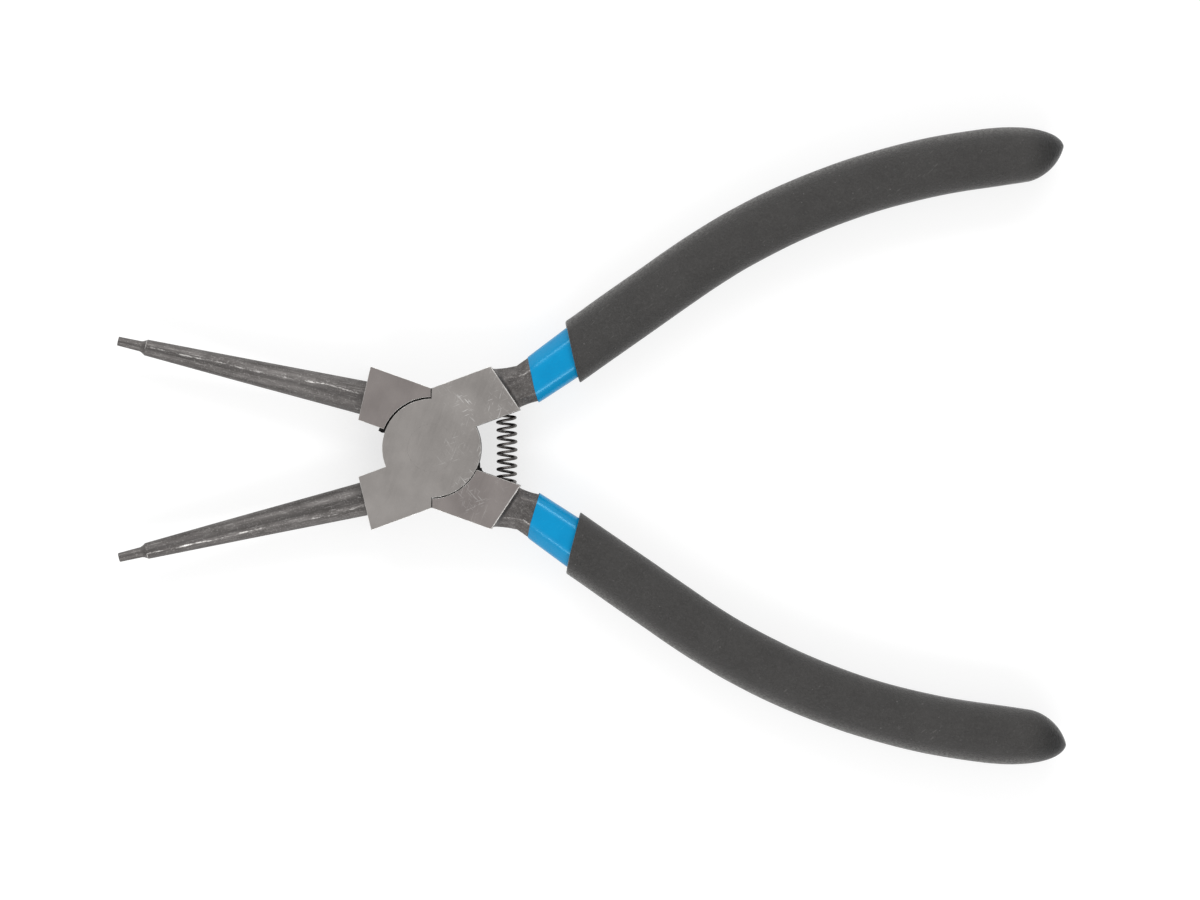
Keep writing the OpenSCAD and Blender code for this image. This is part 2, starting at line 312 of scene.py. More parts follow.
# The tang steps down behind the block and runs on inside the dipped layers to the handle's end.
# The handle's run starts at the root of the tang, along X, and bows towards -Y.
TANG_ROOT = Vector((19.9, 4.85, 0))
HANDLE_ANGLE = math.radians(15)
STRAIGHT_LEN = 32.6
BOW_R = 118.0
BOW_ANGLE = math.radians(27)
TAIL_LEN = 8.0
TAIL_TAPER = 0.7
TAIL_SHARE = 0.93
TAIL_STEPS = 4
END_LEAN = 0.7
END_STEPS = 12
TANG_W = 7.4
TANG_T = 7.2
TANG_CUT_OUT = 2.0
TANG_CUT_IN = 1.5
TANG_END = 3.0
TANG_SOFT = 0.3
TANG_STRAIGHT_STEPS = 4
TANG_BOW_STEPS = 12
FLAT_CUT = 1
SOFT_STEPS = 3
NECK_RIM = 0.34
# Shares of the way, the width and the thickness between the block's end and the root of the tang
NECK = [
    (-0.05, 0, 0), (0.02, 0.05, 0.12), (0.07, 0.2, 0.5), (0.13, 0.34, 0.76), (0.22, 0.48, 0.9),
    (0.38, 0.72, 0.95), (0.6, 0.93, 0.98), (1, 1, 1),
]
ALONG = Matrix.Translation(TANG_ROOT) @ Matrix.Rotation(HANDLE_ANGLE, 4, "Z")
TAIL = (
    Matrix.Translation((STRAIGHT_LEN, -BOW_R, 0))
    @ Matrix.Rotation(-BOW_ANGLE, 4, "Z")
    @ Matrix.Translation((0, BOW_R, 0))
)


def verts_of(edges):
    """The edges' vertices, each once, in the order of the edges."""
    return list(dict.fromkeys(v for e in edges for v in e.verts))


def bar_loop(bm, place, width, height, cut_out, cut_in, steps, soft=0.0):
    """A loop round a bar, in the place's YZ plane with y to the handle's outer side: its corners are cut off
    flat in one step or rounded in several, and the ridges beside a flat cut are softened."""
    before = set(bm.edges)
    corners = [
        bm.verts.new(place @ Vector((0, y * width / 2, z * height / 2)))
        for y, z in ((1, 1), (1, -1), (-1, -1), (-1, 1))
    ]
    bm.faces.new(corners)

    def cut(points, depth, segments):
        bmesh.ops.bevel(
            bm, geom=points, offset=depth, offset_type="OFFSET", segments=segments,
            profile=0.5, affect="VERTICES", material=-1,
        )

    cut(corners[:2], cut_out, steps)
    cut(corners[2:], cut_in, steps)
    loop = [e for e in bm.edges if e not in before]
    if soft:
        cut(verts_of(loop), soft, SOFT_STEPS)
        loop = [e for e in bm.edges if e not in before]
    inside = list(dict.fromkeys(f for e in loop for f in e.link_faces))
    bmesh.ops.delete(bm, geom=inside, context="FACES_ONLY")
    return loop


def drawn_on(bm, loop):
    """Draws the loop's edges on, and returns the new loop, still in the same place."""
    drawn = bmesh.ops.extrude_edge_only(bm, edges=loop)
    return [e for e in drawn["geom"] if isinstance(e, bmesh.types.BMEdge) and len(e.link_faces) == 1]


def round_end(end_len):
    """Stages of a tail that narrows on its outer side and is rounded off: reach, width, height and shift."""
    stages = []
    for i in range(1, TAIL_STEPS + 1):
        share = 1 - (1 - TAIL_SHARE) * i / TAIL_STEPS
        stages.append((TAIL_LEN * i / TAIL_STEPS, share, share, -TAIL_TAPER / 2 * i / TAIL_STEPS))
    for i in range(1, END_STEPS + 1):
        turn = math.pi / 2 * i / END_STEPS
        k = math.cos(turn)
        reach = TAIL_LEN + end_len * math.sin(turn)
        stages.append((reach, TAIL_SHARE * k, TAIL_SHARE * k, END_LEAN * (1 - k) - TAIL_TAPER / 2))
    return stages


def down_the_handle(bm, loop, stages, straight_steps, bow_steps):
    """Draws a loop along the handle: straight, round the bow, and by the stages of its end to a point."""
    for left in range(straight_steps, 0, -1):
        loop = drawn_on(bm, loop)
        for v in verts_of(loop):
            v.co.x += (STRAIGHT_LEN - v.co.x) / left
    bowed = bmesh.ops.spin(
        bm, geom=loop + verts_of(loop), cent=(STRAIGHT_LEN, -BOW_R, 0), axis=(0, 0, -1),
        angle=BOW_ANGLE, steps=bow_steps,
    )
    loop = [e for e in bowed["geom_last"] if isinstance(e, bmesh.types.BMEdge)]
    last = Matrix()
    for reach, wide, high, shift in stages[:-1]:
        loop = drawn_on(bm, loop)
        stage = Matrix.Translation((reach, shift, 0)) @ Matrix.Diagonal((1, wide, high, 1))
        bmesh.ops.transform(
            bm, matrix=TAIL @ stage @ last.inverted() @ TAIL.inverted(), verts=verts_of(loop),
        )
        last = stage
    loop = drawn_on(bm, loop)
    reach, wide, high, shift = stages[-1]
    bmesh.ops.pointmerge(bm, verts=verts_of(loop), merge_co=TAIL @ Vector((reach, shift, 0)))


def tang():
    """The neck behind the block and the tang that the handle's layers are dipped on."""
    bm = bmesh.new()
    block_mid = Vector((BLOCK_END_X - BLOCK_END_SLANT / 2, (HANDLE_INSET + BLOCK_W) / 2, 0))
    slant = math.atan(BLOCK_END_SLANT / (BLOCK_W - HANDLE_INSET))
    root_w = BLOCK_W - HANDLE_INSET - 2 * NECK_RIM
    root_t = JOINT_T - 2 * NECK_RIM
    loops = []
    for way, wide, thick in NECK:
        place = (
            Matrix.Translation(block_mid.lerp(TANG_ROOT, way))
            @ Matrix.Rotation(HANDLE_ANGLE + (slant - HANDLE_ANGLE) * (1 - way), 4, "Z")
        )
        cut = 0.5 + thick / 2
        loops.append(bar_loop(
            bm, ALONG.inverted() @ place,
            root_w + wide * (TANG_W - root_w), root_t + thick * (TANG_T - root_t),
            TANG_CUT_OUT * cut, TANG_CUT_IN * cut, FLAT_CUT, TANG_SOFT,
        ))
    bmesh.ops.contextual_create(bm, geom=loops[0])
    for pair in zip(loops, loops[1:]):
        bmesh.ops.bridge_loops(bm, edges=pair[0] + pair[1])
    down_the_handle(bm, loops[-1], round_end(TANG_END), TANG_STRAIGHT_STEPS, TANG_BOW_STEPS)
    bmesh.ops.recalc_face_normals(bm, faces=bm.faces)
    bmesh.ops.transform(bm, matrix=ALONG, verts=bm.verts)
    return bm


def forged_blank(with_remnants):
    """The forging in its closed frame: the joint's blank with its tang and jaw, milled and bored."""
    blank = make_piece(joint_blank(), "lever")
    hollow_place = Matrix.Translation((-HOLLOW_SHIFT, 0, -JOINT_T / 2 - PAST))
    hollow = round_bar(HOLLOW_R, JOINT_T / 2 + PAST + LAP_Z, hollow_place, HOLLOW_STEPS)
    work(blank, hollow, "DIFFERENCE")
    work(blank, tang(), "UNION")
    work(blank, rivet_bore(), "DIFFERENCE")
    work(blank, spring_pocket(), "DIFFERENCE")
    if with_remnants:
        work(blank, remnant(HANDLE_SPUR, HANDLE_INSET, 0), "UNION")
        work(blank, remnant(JAW_LEDGE, JAW_INSET, math.pi), "UNION")
    work(blank, jaw(), "UNION")
    bm = bmesh.new()
    bm.from_mesh(blank.data)
    bpy.data.objects.remove(blank)
    bmesh.ops.remove_doubles(bm, verts=bm.verts, dist=WELD_MERGE)
    bmesh.ops.dissolve_degenerate(bm, edges=bm.edges, dist=WELD_MERGE)
    return bm


# A lever's finishes, in the order of its material slots: ground on the joint's faces, dark on the rest,
# bright on the rims, partly wear and partly a painted highlight, and black, as scale and painted shade, on
# the remnants, and as painted shade in the stop gap
GROUND, FORGED, WORN_EDGE_AND_HIGHLIGHT, SCALE_AND_SHADE = range(4)
FACE_Z = JOINT_T / 2 - 0.01
FLAT_NORMAL = 0.999
REMNANT_REACH = 1.5
OFF_DISC = 0.05


def sort_faces(bm, with_remnants):
    """Gives each face the slot of its finish."""
    for face in bm.faces:
        flat = abs(face.normal.z) > FLAT_NORMAL
        at_face = abs(face.calc_center_median().z) > FACE_Z
        face.material_index = GROUND if flat and at_face else FORGED
    if not with_remnants:
        return
    roots = (Vector((root_x(HANDLE_INSET), HANDLE_INSET)), Vector((-root_x(JAW_INSET), -JAW_INSET)))
    for face in bm.faces:
        mid = face.calc_center_median()
        near_root = min((mid.xy - root).length for root in roots) < REMNANT_REACH
        off_disc = mid.xy.length > DISC_R + OFF_DISC
        if near_root and off_disc and LAP_Z / 2 < mid.z < REMNANT_H + 2 * LAP_Z:
            # The remnants are painted black: partly their own scale, partly painted shade in the corner under
            # the block
            face.material_index = SCALE_AND_SHADE


# The grinding left a burr at the block's end, rubbed bright; the other edges of the faces are only broken.
# The bright on these rims is partly wear and partly a painted highlight.
END_BURR = 0.15
EDGE_BREAK = 0.05
STOP_BREAK = 0.07
BREAK_STEPS = 2
RIM_TURN = math.radians(35)
BLOCK_END_NEAR = 0.02
STOP_NEAR = 2 * STOP_HALF_GAP


def at_block_end(point):
    """Whether a point lies in the plane of the handle block's end."""
    share = (point.y - HANDLE_INSET) / (BLOCK_W - HANDLE_INSET)
    return abs(point.x - (BLOCK_END_X - BLOCK_END_SLANT * share)) < BLOCK_END_NEAR


def at_stop(point):
    """Whether a point lies on one of the stop faces."""
    off_line = point.x * math.cos(OPEN_HALF) - point.y * math.sin(OPEN_HALF)
    return abs(off_line) < STOP_NEAR


def lies(edge, place):
    """Whether both ends of an edge lie at a place."""
    return all(place(v.co) for v in edge.verts)


def is_rim(edge):
    """Whether an edge is the rim of a ground face, other than the bore's."""
    points = [v.co for v in edge.verts]
    on_face = min(abs(p.z) for p in points) > FACE_Z
    of_bore = min(p.xy.length for p in points) < DISC_R / 2
    if not on_face or of_bore or not edge.is_manifold or not edge.is_convex:
        return False
    return edge.calc_face_angle() > RIM_TURN


def ease(bm, edges, width, finish):
    """Breaks edges to a narrow rounded land with its own finish."""
    eased = bmesh.ops.bevel(
        bm, geom=edges, offset=width, offset_type="OFFSET", segments=BREAK_STEPS, profile=0.5,
        affect="EDGES", clamp_overlap=False, material=-1,
    )
    for face in eased["faces"]:
        face.material_index = finish


def break_edges(bm):
    """Breaks the rims of the ground faces: the plain ones, the burred block end and the stops."""
    plain_rims = [e for e in bm.edges if is_rim(e) and not lies(e, at_block_end) and not lies(e, at_stop)]
    # The rims get the bright edge finish: partly wear, partly a painted highlight
    ease(bm, plain_rims, EDGE_BREAK, WORN_EDGE_AND_HIGHLIGHT)
    ease(bm, [e for e in bm.edges if lies(e, at_block_end) and is_rim(e)], END_BURR, WORN_EDGE_AND_HIGHLIGHT)
    # The stops' broken edges are painted black, as painted shade in the gap between the levers
    ease(bm, [e for e in bm.edges if lies(e, at_stop) and is_rim(e)], STOP_BREAK, SCALE_AND_SHADE)
    for face in bm.faces:
        face.smooth = True


# The dark finish follows the forging: down the jaw, drawn out along the handle, and plain on the disc
TANG_GRAIN = 9.0
GRAIN_OFF_DISC = 0.1


def lay_grain(bm):
    """Marks where each face's corners lie along the forging, in metres."""
    grain = bm.loops.layers.float_vector.new("grain")
    to_jaw = Matrix.Rotation(math.pi / 2, 4, "Y") @ JAW_PLACE.inverted()
    to_run = Matrix.Diagonal((TANG_GRAIN, 1, 1, 1)) @ ALONG.inverted()
    for face in bm.faces:
        mid = face.calc_center_median()
        beside_disc = mid.xy.length > DISC_R + GRAIN_OFF_DISC
        way = (to_jaw if mid.x < 0 else to_run) if beside_disc else Matrix()
        for corner in face.loops:
            corner[grain] = way @ corner.vert.co * MM


# Handling rubs the jaw bright along lines, partly wear and partly painted glints where light would catch the
# ground cone: here the turn off its top and the strength, each at the root and at the shoulder; on the
# shoulder's rim between two turns; and along the tang's outer ridges, there partly a painted highlight
HANDLED = 0.25
FRONT_JAW_RUBS_AND_GLINTS = ((-0.5, -0.42, 0.76, 0.84), (0.16, 0.16, 0.76, -0.3))
BACK_JAW_RUBS_AND_GLINTS = ((-0.25, -0.15, 0.84, 0.84), (0.85, 0.75, 0.84, -0.3))
RUB_AND_GLINT_REACH = 0.62
RUB_AND_GLINT_FROM = 0.5
TIP_RUB_AND_GLINT = 0.72
DRIFT = 0.16
DRIFT_RUN = 0.22
DRIFT_SEED = 3.3
PATCHY = 0.3
PATCHY_RUN = 0.45
PATCHY_SEED = 7.1
FRONT_RIM_TURNS = (-2.1, 0.05)
BACK_RIM_TURNS = (-2.1, 0.6)
RIM_RUB_AND_GLINT = 0.9
RIM_FADE = 0.5
RIM_BACK = 1.2 * SHOULDER_RIM
RIM_ON = 0.2 * SHOULDER_RIM
RIDGE_RUB_AND_GLINT = 0.6
RIDGE_FROM = -3


def jaw_wear_and_glints(point, rub_and_glint_lines, rim_turns):
    """How far the jaw is rubbed bright at a point, partly wear and partly painted glints: along lines that
    wander down the cone, and on part of its rim.
    """
    if point.z < RUB_AND_GLINT_FROM:
        return 0
    around = math.atan2(point.y, abs(point.x))
    if JAW_SHOULDER - RIM_BACK < point.z < JAW_SHOULDER + RIM_ON:
        inside = min(around - rim_turns[0], rim_turns[1] - around) / RIM_FADE
        return max(RIM_RUB_AND_GLINT * min(inside, 1), HANDLED)
    way = point.z / JAW_SHOULDER
    wear = HANDLED
    for root_turn, end_turn, root_share, end_share in rub_and_glint_lines:
        drift = DRIFT * noise.noise(Vector((point.z * DRIFT_RUN, DRIFT_SEED, root_turn)))
        patchy = PATCHY * noise.noise(Vector((point.z * PATCHY_RUN, PATCHY_SEED, root_turn)))
        off = abs(around - root_turn - (end_turn - root_turn) * way - drift) * cone_r(point.z)
        share = max(root_share + (end_share - root_share) * way + patchy, 0)
        if way > 1:
            share *= TIP_RUB_AND_GLINT
        wear = max(wear, share * (1 - off / RUB_AND_GLINT_REACH))
    return wear


def rub_and_glint_bright(bm, rub_and_glint_lines, rim_turns):
    """Marks how far each point of the jaw and the tang is rubbed bright, partly wear and partly painted
    glints and highlights.
    """
    wear_and_glints = bm.verts.layers.float.new("wear_and_glints")
    ridge_out = TANG_W / 2 - TANG_CUT_OUT
    for v in bm.verts:
        on_run = ALONG.inverted() @ v.co
        if v.co.x < 0:
            v[wear_and_glints] = jaw_wear_and_glints(JAW_PLACE.inverted() @ v.co, rub_and_glint_lines, rim_turns)
        elif on_run.x > RIDGE_FROM:
            off_ridge = math.hypot(on_run.y - ridge_out, abs(on_run.z) - TANG_T / 2)
            v[wear_and_glints] = max(1 - off_ridge / RIDGE_RUB_AND_GLINT, HANDLED)


# One step of a pattern's shift, in metres
PATTERN_STEP = 0.01


class Wiring:
    """Nodes wired together in one tree."""

    def __init__(self, tree):
        self.tree = tree

    def add(self, kind, feeds, **settings):
        """A node with its settings, and a value or a link for each input that is fed."""
        node = self.tree.nodes.new(kind)
        for key, value in settings.items():
            setattr(node, key, value)
        for key, value in feeds.items():
            if isinstance(value, bpy.types.NodeSocket):
                self.tree.links.new(value, node.inputs[key])
            else:
                node.inputs[key].default_value = value
        return node

    def level(self, value, low, high, to_low=0.0, to_high=1.0):
        """Spreads the values between low and high over another range, and clips the rest."""
        return self.add("ShaderNodeMapRange", {
            0: value, "From Min": low, "From Max": high, "To Min": to_low, "To Max": to_high,
        }).outputs[0]

    def sums(self, how, a, b):
        """Two values brought together by a math operation."""
        return self.add("ShaderNodeMath", {0: a, 1: b}, operation=how).outputs[0]


class Finish(Wiring):
    """A material with patterns wired to its shader. Pattern sizes are in features to the mm."""

    def __init__(self, name, plain):
        self.made = bpy.data.materials.new(name)
        self.made.use_nodes = True
        super().__init__(self.made.node_tree)
        self.shader = self.tree.nodes["Principled BSDF"]
        for socket, value in plain.items():
            self.shader.inputs[socket].default_value = value
        self.coords = self.add("ShaderNodeTexCoord", {}).outputs["Object"]

    def mark(self, name, output="Fac"):
        """A layer that the piece's own mesh carries."""
        return self.add("ShaderNodeAttribute", {}, attribute_name=name).outputs[output]

    def along_grain(self):
        """Patterns from here on follow the piece's own grain."""
        self.coords = self.mark("grain", "Vector")

    def cloud(self, per_mm, detail=2.0, rough=0.5, turn=0.0, shift=0.0):
        """Soft noise; per_mm is one size, or three where it is drawn out, and then turned."""
        sizes = per_mm if isinstance(per_mm, tuple) else (per_mm,) * 3
        mapped = self.add("ShaderNodeMapping", {
            "Vector": self.coords,
            "Location": (shift * PATTERN_STEP,) * 3,
            "Rotation": (0, 0, turn),
            "Scale": tuple(MM / s for s in sizes),
        }, vector_type="TEXTURE")
        return self.add("ShaderNodeTexNoise", {
            "Vector": mapped.outputs[0], "Scale": 1.0, "Detail": detail, "Roughness": rough,
        }).outputs[0]

    def specks(self, per_mm):
        """Distance from scattered points."""
        mapped = self.add("ShaderNodeMapping", {
            "Vector": self.coords, "Scale": (MM / per_mm,) * 3,
        }, vector_type="TEXTURE")
        scattered = self.add("ShaderNodeTexVoronoi", {"Vector": mapped.outputs[0], "Scale": 1.0})
        return scattered.outputs["Distance"]

    def tint(self, share, a, b):
        """One colour or the other, by share."""
        return self.add("ShaderNodeMix", {0: share, 6: a, 7: b}, data_type="RGBA").outputs[2]

    def relief(self, height, depth_mm):
        """A bump of this depth."""
        feeds = {"Height": height, "Distance": depth_mm * MM, "Strength": 1.0}
        return self.add("ShaderNodeBump", feeds).outputs[0]

    def wire(self, **feeds):
        """Wires values to the shader's inputs, named with _ for each space."""
        for socket, value in feeds.items():
            name = socket.replace("_", " ")
            self.tree.links.new(value, self.shader.inputs[name])


def shaded(colour, share):
    """A colour made darker or lighter."""
    return tuple(share * c for c in colour[:3]) + (1,)


# Turn and shift of each set of nicks, and how they spread from the pivot along the handle's block, in mm
NICK_SETS = ((0.35, 3.0), (1.25, 11.0), (2.3, 19.0))
NICKS_FULL = 6
NICKS_THIN = (8, 15)
GRIND_TURN = 1.2


def ground_finish(name, dark, pale, rubbed_and_highlight):
    """Surface-ground steel: fine lines one way, soft clouds, and nicks on the side that was knocked about."""
    bright = (0.95, 0.94, 0.92, 1)
    f = Finish(name, {"Metallic": 1.0})
    lines = f.cloud((0.25, 9, 9), detail=3, rough=0.6, turn=GRIND_TURN)
    clouds = f.cloud(0.16, detail=4)
    grit = f.cloud(6.0, rough=0.6)
    nicks = None
    for turn, shift in NICK_SETS:
        strokes = f.cloud((0.5, 6.0, 6.0), detail=1, rough=0.4, turn=turn, shift=shift)
        strokes = f.level(strokes, 0.665, 0.73)
        nicks = strokes if nicks is None else f.sums("MAXIMUM", nicks, strokes)
    patch = f.level(f.cloud(0.2, shift=7.0), 0.46, 0.64)
    along = f.add("ShaderNodeSeparateXYZ", {0: f.coords}).outputs["X"]
    spread = f.level(along, 0.0, NICKS_FULL * MM, 0.0, rubbed_and_highlight)
    thinned = f.level(along, NICKS_THIN[0] * MM, NICKS_THIN[1] * MM, 1.0, 0.4)
    knocked = f.sums("MULTIPLY", spread, thinned)
    nicks = f.sums("MULTIPLY", nicks, f.sums("MULTIPLY", patch, knocked))
    steel = f.tint(f.level(clouds, 0.3, 0.7), dark, pale)
    steel = f.tint(f.level(lines, 0.35, 0.75, 0.0, 0.22), steel, shaded(dark, 0.8))
    steel = f.tint(f.level(grit, 0.55, 0.75, 0.0, 0.2), steel, shaded(pale, 1.25))
    steel = f.tint(nicks, steel, bright)
    dull = f.sums("ADD", f.level(clouds, 0.3, 0.7, 0.46, 0.54), f.level(lines, 0.3, 0.7, -0.05, 0.05))
    height = f.sums("ADD", f.level(lines, 0.3, 0.7, 0, 0.6), f.level(nicks, 0, 1, 0, -1.0))
    f.wire(Base_Color=steel, Roughness=dull, Normal=f.relief(height, 0.004))
    return f.made


def forged_finish():
    """Dark oiled forging: bands and hair lines along the grain, rubbed bright in flecks on what is proud,
    partly wear and partly painted glints.
    """
    dark_band = (0.089, 0.082, 0.079, 1)
    pale_band = (0.182, 0.171, 0.166, 1)
    oiled = (0.082, 0.076, 0.073, 1)
    bare = (0.70, 0.68, 0.66, 1)
    f = Finish("dark_forging", {"Metallic": 0.9})
    crust = f.cloud(0.5, detail=4, rough=0.6)
    pits = f.cloud(3.2)
    f.along_grain()
    bands = f.cloud((0.05, 1.0, 1.0), detail=4, rough=0.6)
    hairs = f.level(f.cloud((0.22, 7, 7), detail=3, rough=0.6, shift=4.0), 0.58, 0.72, 0, 0.3)
    flecks = f.cloud((1.5, 4.4, 4.4), detail=4, rough=0.7, shift=9.0)
    wear_and_glints = f.mark("wear_and_glints")
    # Bright where worn, and where glints are painted along the jaw's lines, the shoulder's rim and the tang's
    # ridges
    rubbed_and_highlight = f.level(f.sums("ADD", wear_and_glints, flecks), 1.22, 1.46, 0, 0.75)
    grit = f.sums("MULTIPLY", f.level(pits, 0.56, 0.7, 0, 0.16), f.level(wear_and_glints, 0, HANDLED, 0.3, 1.0))
    bright = f.sums("MAXIMUM", hairs, f.sums("MAXIMUM", rubbed_and_highlight, grit))
    skin = f.tint(f.level(bands, 0.3, 0.7), dark_band, pale_band)
    skin = f.tint(f.level(crust, 0.45, 0.75, 0, 0.4), skin, oiled)
    colour = f.tint(bright, skin, bare)
    dull = f.sums("SUBTRACT", f.level(crust, 0.3, 0.7, 0.48, 0.62), f.level(bright, 0, 1, 0, 0.12))
    height = f.sums("ADD", f.level(bands, 0.3, 0.7, 0, 1.0), f.level(pits, 0.3, 0.7, 0, 0.5))
    f.wire(Base_Color=colour, Roughness=dull, Normal=f.relief(height, 0.02))
    return f.made


def worn_edge_and_highlight_finish():
    """Edges of the ground faces, rubbed bright where the dark skin is gone, their brightness partly a painted
    highlight.
    """
    dull_steel = (0.50, 0.48, 0.46, 1)
    bright = (0.95, 0.93, 0.90, 1)
    f = Finish("worn_edge_and_highlight", {"Metallic": 1.0})
    rub_and_highlight = f.level(f.cloud(0.8, detail=3, rough=0.6), 0.36, 0.6)
    colour = f.tint(rub_and_highlight, dull_steel, bright)
    f.wire(Base_Color=colour, Roughness=f.level(rub_and_highlight, 0, 1, 0.5, 0.4), Normal=f.relief(f.cloud(4.0), 0.004))
    return f.made


def scale_and_shade_finish():
    """Black and dull, with a crust: forging scale on the remnants together with painted shade there, and
    painted shade on the broken edges in the stop gap.
    """
    black = (0.010, 0.0095, 0.009, 1)
    grey = (0.032, 0.030, 0.028, 1)
    f = Finish("scale_and_painted_shade", {"Metallic": 0.2})
    crust = f.cloud(2.4, detail=4, rough=0.65)
    colour = f.tint(f.level(crust, 0.35, 0.7), black, grey)
    f.wire(Base_Color=colour, Roughness=f.level(crust, 0.3, 0.7, 0.62, 0.8), Normal=f.relief(crust, 0.08))
    return f.made


LEVER_SHARP = math.radians(38)
forging = forged_finish()
worn_edge_and_highlight = worn_edge_and_highlight_finish()
scale_and_painted_shade = scale_and_shade_finish()
front_ground = ground_finish("front_ground", (0.378, 0.355, 0.339, 1), (0.425, 0.401, 0.384, 1), 0.62)
back_ground = ground_finish("back_ground", (0.310, 0.279, 0.269, 1), (0.352, 0.320, 0.308, 1), 0.3)
for side, body, ground, rub_and_glint_lines, rim_turns in (
    (1, "front", front_ground, FRONT_JAW_RUBS_AND_GLINTS, FRONT_RIM_TURNS),
    (-1, "back", back_ground, BACK_JAW_RUBS_AND_GLINTS, BACK_RIM_TURNS),
):
    with_remnants = side < 0
    lever_bm = forged_blank(with_remnants)
    sort_faces(lever_bm, with_remnants)
    break_edges(lever_bm)
    lay_grain(lever_bm)
    rub_and_glint_bright(lever_bm, rub_and_glint_lines, rim_turns)
    bmesh.ops.transform(lever_bm, matrix=in_place(side), verts=lever_bm.verts)
    forged = make_piece(lever_bm, body + "_lever_forged")
    forged.data.set_sharp_from_angle(angle=LEVER_SHARP)
    for material in (ground, forging, worn_edge_and_highlight, scale_and_painted_shade):
        forged.data.materials.append(material)
    evened = forged.modifiers.new("evened", "WEIGHTED_NORMAL")
    evened.keep_sharp = True
    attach(forged, body + "_body")
    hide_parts(body + "_lever")

# Rivet
# A countersunk steel rivet, pressed and then ground off flush with both faces of the joint, so that only a
# hair line shows round its heads. It keeps its turned shape, and was ground in one go with the front face.

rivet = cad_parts["pivot_rivet"]
rivet.data.materials.clear()
rivet.data.materials.append(front_ground)

# Return spring
# A coil of dark drawn spring wire between the levers. Its closed end turns sit in the two pockets, which
# lean, so that the coil bows a little; it is wound straight here and then bent to that arc.

WIRE_R = 0.25
WIRE_STEPS = 12
COIL_R = 1.6
COIL_TURNS = 13.5
TURN_STEPS = 32
END_PITCH = 0.54
END_CLEAR = 0.3
SEAT_PLAY = 0.48
SEAT_SHIFT = 0.15


def coil():
    """The wound wire, with a closed turn at each end, bent to the arc between the pockets."""
    mid = Vector((
        SPRING_X + POCKET_DEPTH / 2 * math.sin(POCKET_LEAN),
        HANDLE_INSET + POCKET_DEPTH / 2 * math.cos(POCKET_LEAN),
    ))
    seat = Matrix.Rotation(OPEN_HALF, 2) @ mid
    lean = OPEN_HALF - POCKET_LEAN - math.atan(SEAT_PLAY / POCKET_DEPTH)
    arc_r = seat.y / math.sin(lean)
    arc_x = seat.x - arc_r * math.cos(lean) + SEAT_SHIFT
    half_len = arc_r * lean + POCKET_DEPTH / 2 - END_CLEAR - WIRE_R
    open_turns = COIL_TURNS - 2
    open_pitch = (2 * half_len - 2 * END_PITCH) / open_turns

    bm = bmesh.new()
    start = Matrix.Translation((-COIL_R, -half_len, 0))
    end = bmesh.ops.create_circle(bm, cap_ends=True, segments=WIRE_STEPS, radius=WIRE_R, matrix=start)
    loop = list(dict.fromkeys(e for v in end["verts"] for e in v.link_edges))
    for turns, pitch in ((1, END_PITCH), (open_turns, open_pitch), (1, END_PITCH)):
        steps = round(turns * TURN_STEPS)
        wound = bmesh.ops.spin(
            bm, geom=loop + verts_of(loop), cent=(0, 0, 0), axis=(0, 1, 0),
            angle=turns * 2 * math.pi, steps=steps, dvec=(0, turns * pitch / steps, 0),
        )
        loop = [e for e in wound["geom_last"] if isinstance(e, bmesh.types.BMEdge)]
    bmesh.ops.contextual_create(bm, geom=loop)
    bmesh.ops.recalc_face_normals(bm, faces=bm.faces)
    for v in bm.verts:
        reach = arc_r + v.co.x
        turn = v.co.y / arc_r
        v.co.x = arc_x + reach * math.cos(turn)
        v.co.y = reach * math.sin(turn)
    for face in bm.faces:
        face.smooth = True
    place = Matrix.Scale(MM, 4) @ Matrix.Translation((0, 0, JOINT_T / 2))
    bmesh.ops.transform(bm, matrix=place, verts=bm.verts)
    return bm


def wire_finish():
    """Oil-tempered wire: dark, with a dull sheen and bare spots."""
    dark = (0.10, 0.092, 0.088, 1)
    pale = (0.17, 0.158, 0.15, 1)
    bare = (0.34, 0.325, 0.31, 1)
    f = Finish("spring_wire_dark", {"Metallic": 1.0})
    blotches = f.cloud(1.2, detail=3, rough=0.6)
    spots = f.level(f.cloud(3.5, shift=2.0), 0.6, 0.72)
    colour = f.tint(f.level(blotches, 0.3, 0.7), dark, pale)
    colour = f.tint(spots, colour, bare)
    f.wire(
        Base_Color=colour, Roughness=f.level(blotches, 0.3, 0.7, 0.34, 0.5),
        Normal=f.relief(f.cloud(6.0), 0.004),
    )
    return f.made


spring = make_piece(coil(), "spring_coil")
spring.data.materials.append(wire_finish())
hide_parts("return_spring")
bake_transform(spring)

# Sleeves
# The first dip: a thin glossy blue skin over the tang that keeps the ridges of the forging below it. Its
# mouth is where the bath's surface stood, a little uneven, and there the skin runs out thin.

SLEEVE_START = 0.9
SLEEVE_SLANT = 0.36
SLEEVE_WAVE = 0.14
SLEEVE_WALL = 0.45
SLEEVE_RIM = 0.09
SLEEVE_SAG = 0.03
SLEEVE_END = TANG_END + 1.5 * SLEEVE_WALL
MOUTH_WALL = 0.15
THIN_LEN = 8.5
LAYER_GAP = 0.02
LAYER_SHARP = math.radians(50)
MOUTH_WAVES = 2
WAVE_TURN = 0.8
MOUTH_STEPS = 3
SKIN_STRAIGHT_STEPS = 22
SKIN_BOW_STEPS = 36
# How much a flat corner cut grows with the wall over it, and where across the handle its crown is highest
FLAT_GROWTH = 2 - math.sqrt(2)
CROWN_SHIFT = 0.9
# The skin sags in long waves with shorter ones on them
LONG_SAG = 0.11
SHORT_SAG = 0.3
SHORT_SHARE = 0.4
SHORT_SEED = Vector((9, 4, 2))


